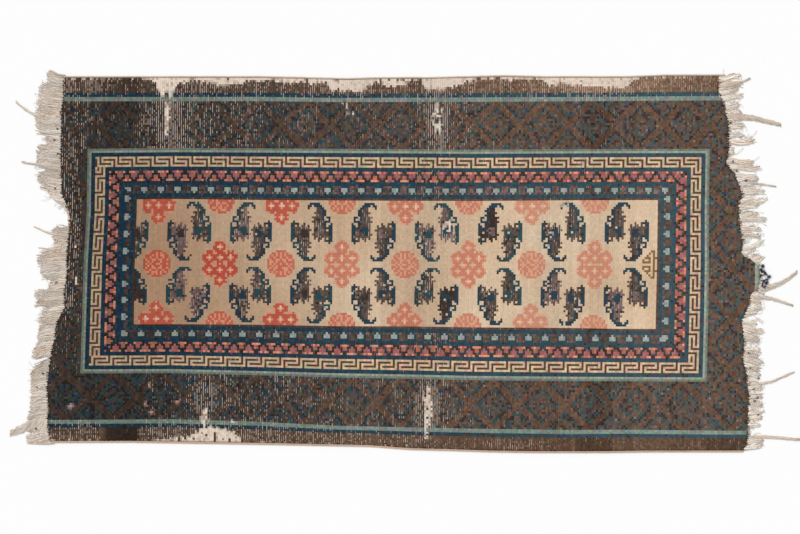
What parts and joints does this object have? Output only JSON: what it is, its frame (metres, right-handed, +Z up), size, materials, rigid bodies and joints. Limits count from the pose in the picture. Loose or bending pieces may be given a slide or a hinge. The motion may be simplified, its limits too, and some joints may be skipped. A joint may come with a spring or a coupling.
{
  "type": "runner rug",
  "caption": "Worn hand-knotted wool runner rug lying flat, with ragged ends, loose cotton fringes at both ends and corded selvedges along its sides.",
  "frame": {"origin": "on the floor, under the middle of the box that holds the rug and its fringes", "axes": "+X along the warps to the rug's right end, +Y across the rug to its upper side, +Z up from the floor"},
  "size_m": [2.382, 1.1432, 0.007],
  "materials": {
    "pile": "worn wool pile, brown ground with dark blue, green, coral and cream",
    "cotton": "undyed cotton yarn, off-white, matt",
    "tan_cotton": "undyed cotton yarn, soiled to a tan, matt"
  },
  "bodies": {
    "root": {"rug_body": "pile", "fringe_left": "cotton", "fringe_right": "cotton", "selvedge_upper": "cotton", "selvedge_lower": "tan_cotton"}
  },
  "joints": []
}
